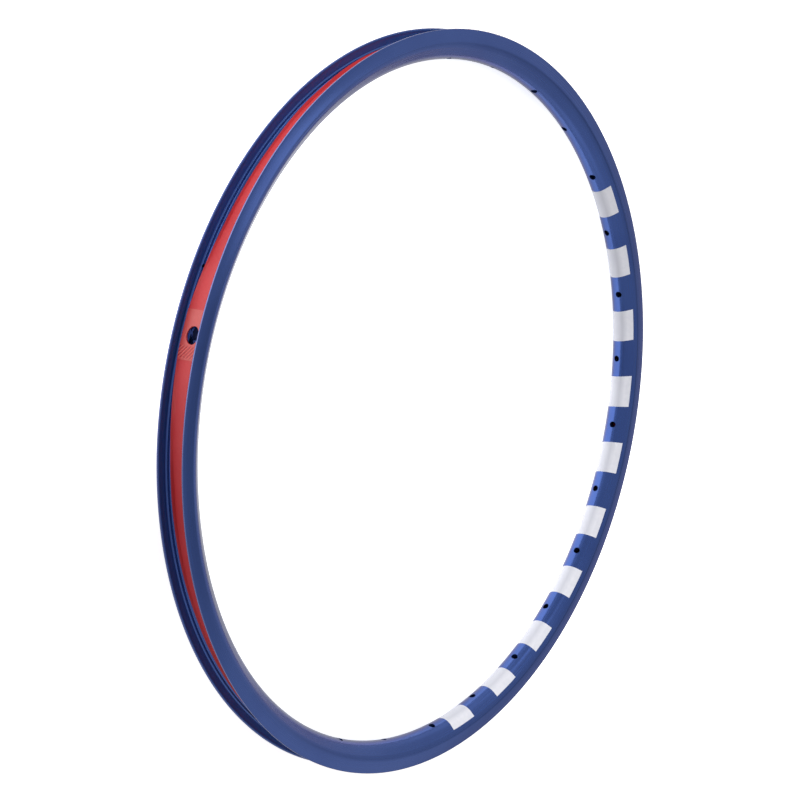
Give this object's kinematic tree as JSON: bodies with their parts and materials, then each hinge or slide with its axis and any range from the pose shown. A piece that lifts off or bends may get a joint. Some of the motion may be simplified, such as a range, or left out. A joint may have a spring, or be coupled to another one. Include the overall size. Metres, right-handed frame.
{
  "type": "bicycle rim",
  "caption": "Narrow double-wall alloy bicycle rim for a small wheel, with hooked flanges, staggered spoke holes, a valve hole and a rim strip in its tyre bed.",
  "frame": {"origin": "centre of the wheel, on the rim's mid-plane", "axes": "+Z along the wheel's axle, the rim lying flat on one side; +X through the valve hole, outwards"},
  "size_m": [0.4629, 0.463, 0.0202],
  "materials": {
    "rim": "satin blue anodised",
    "strip": "matt red"
  },
  "bodies": {
    "root": {"rim": "rim", "rim_strip": "strip"}
  },
  "joints": []
}
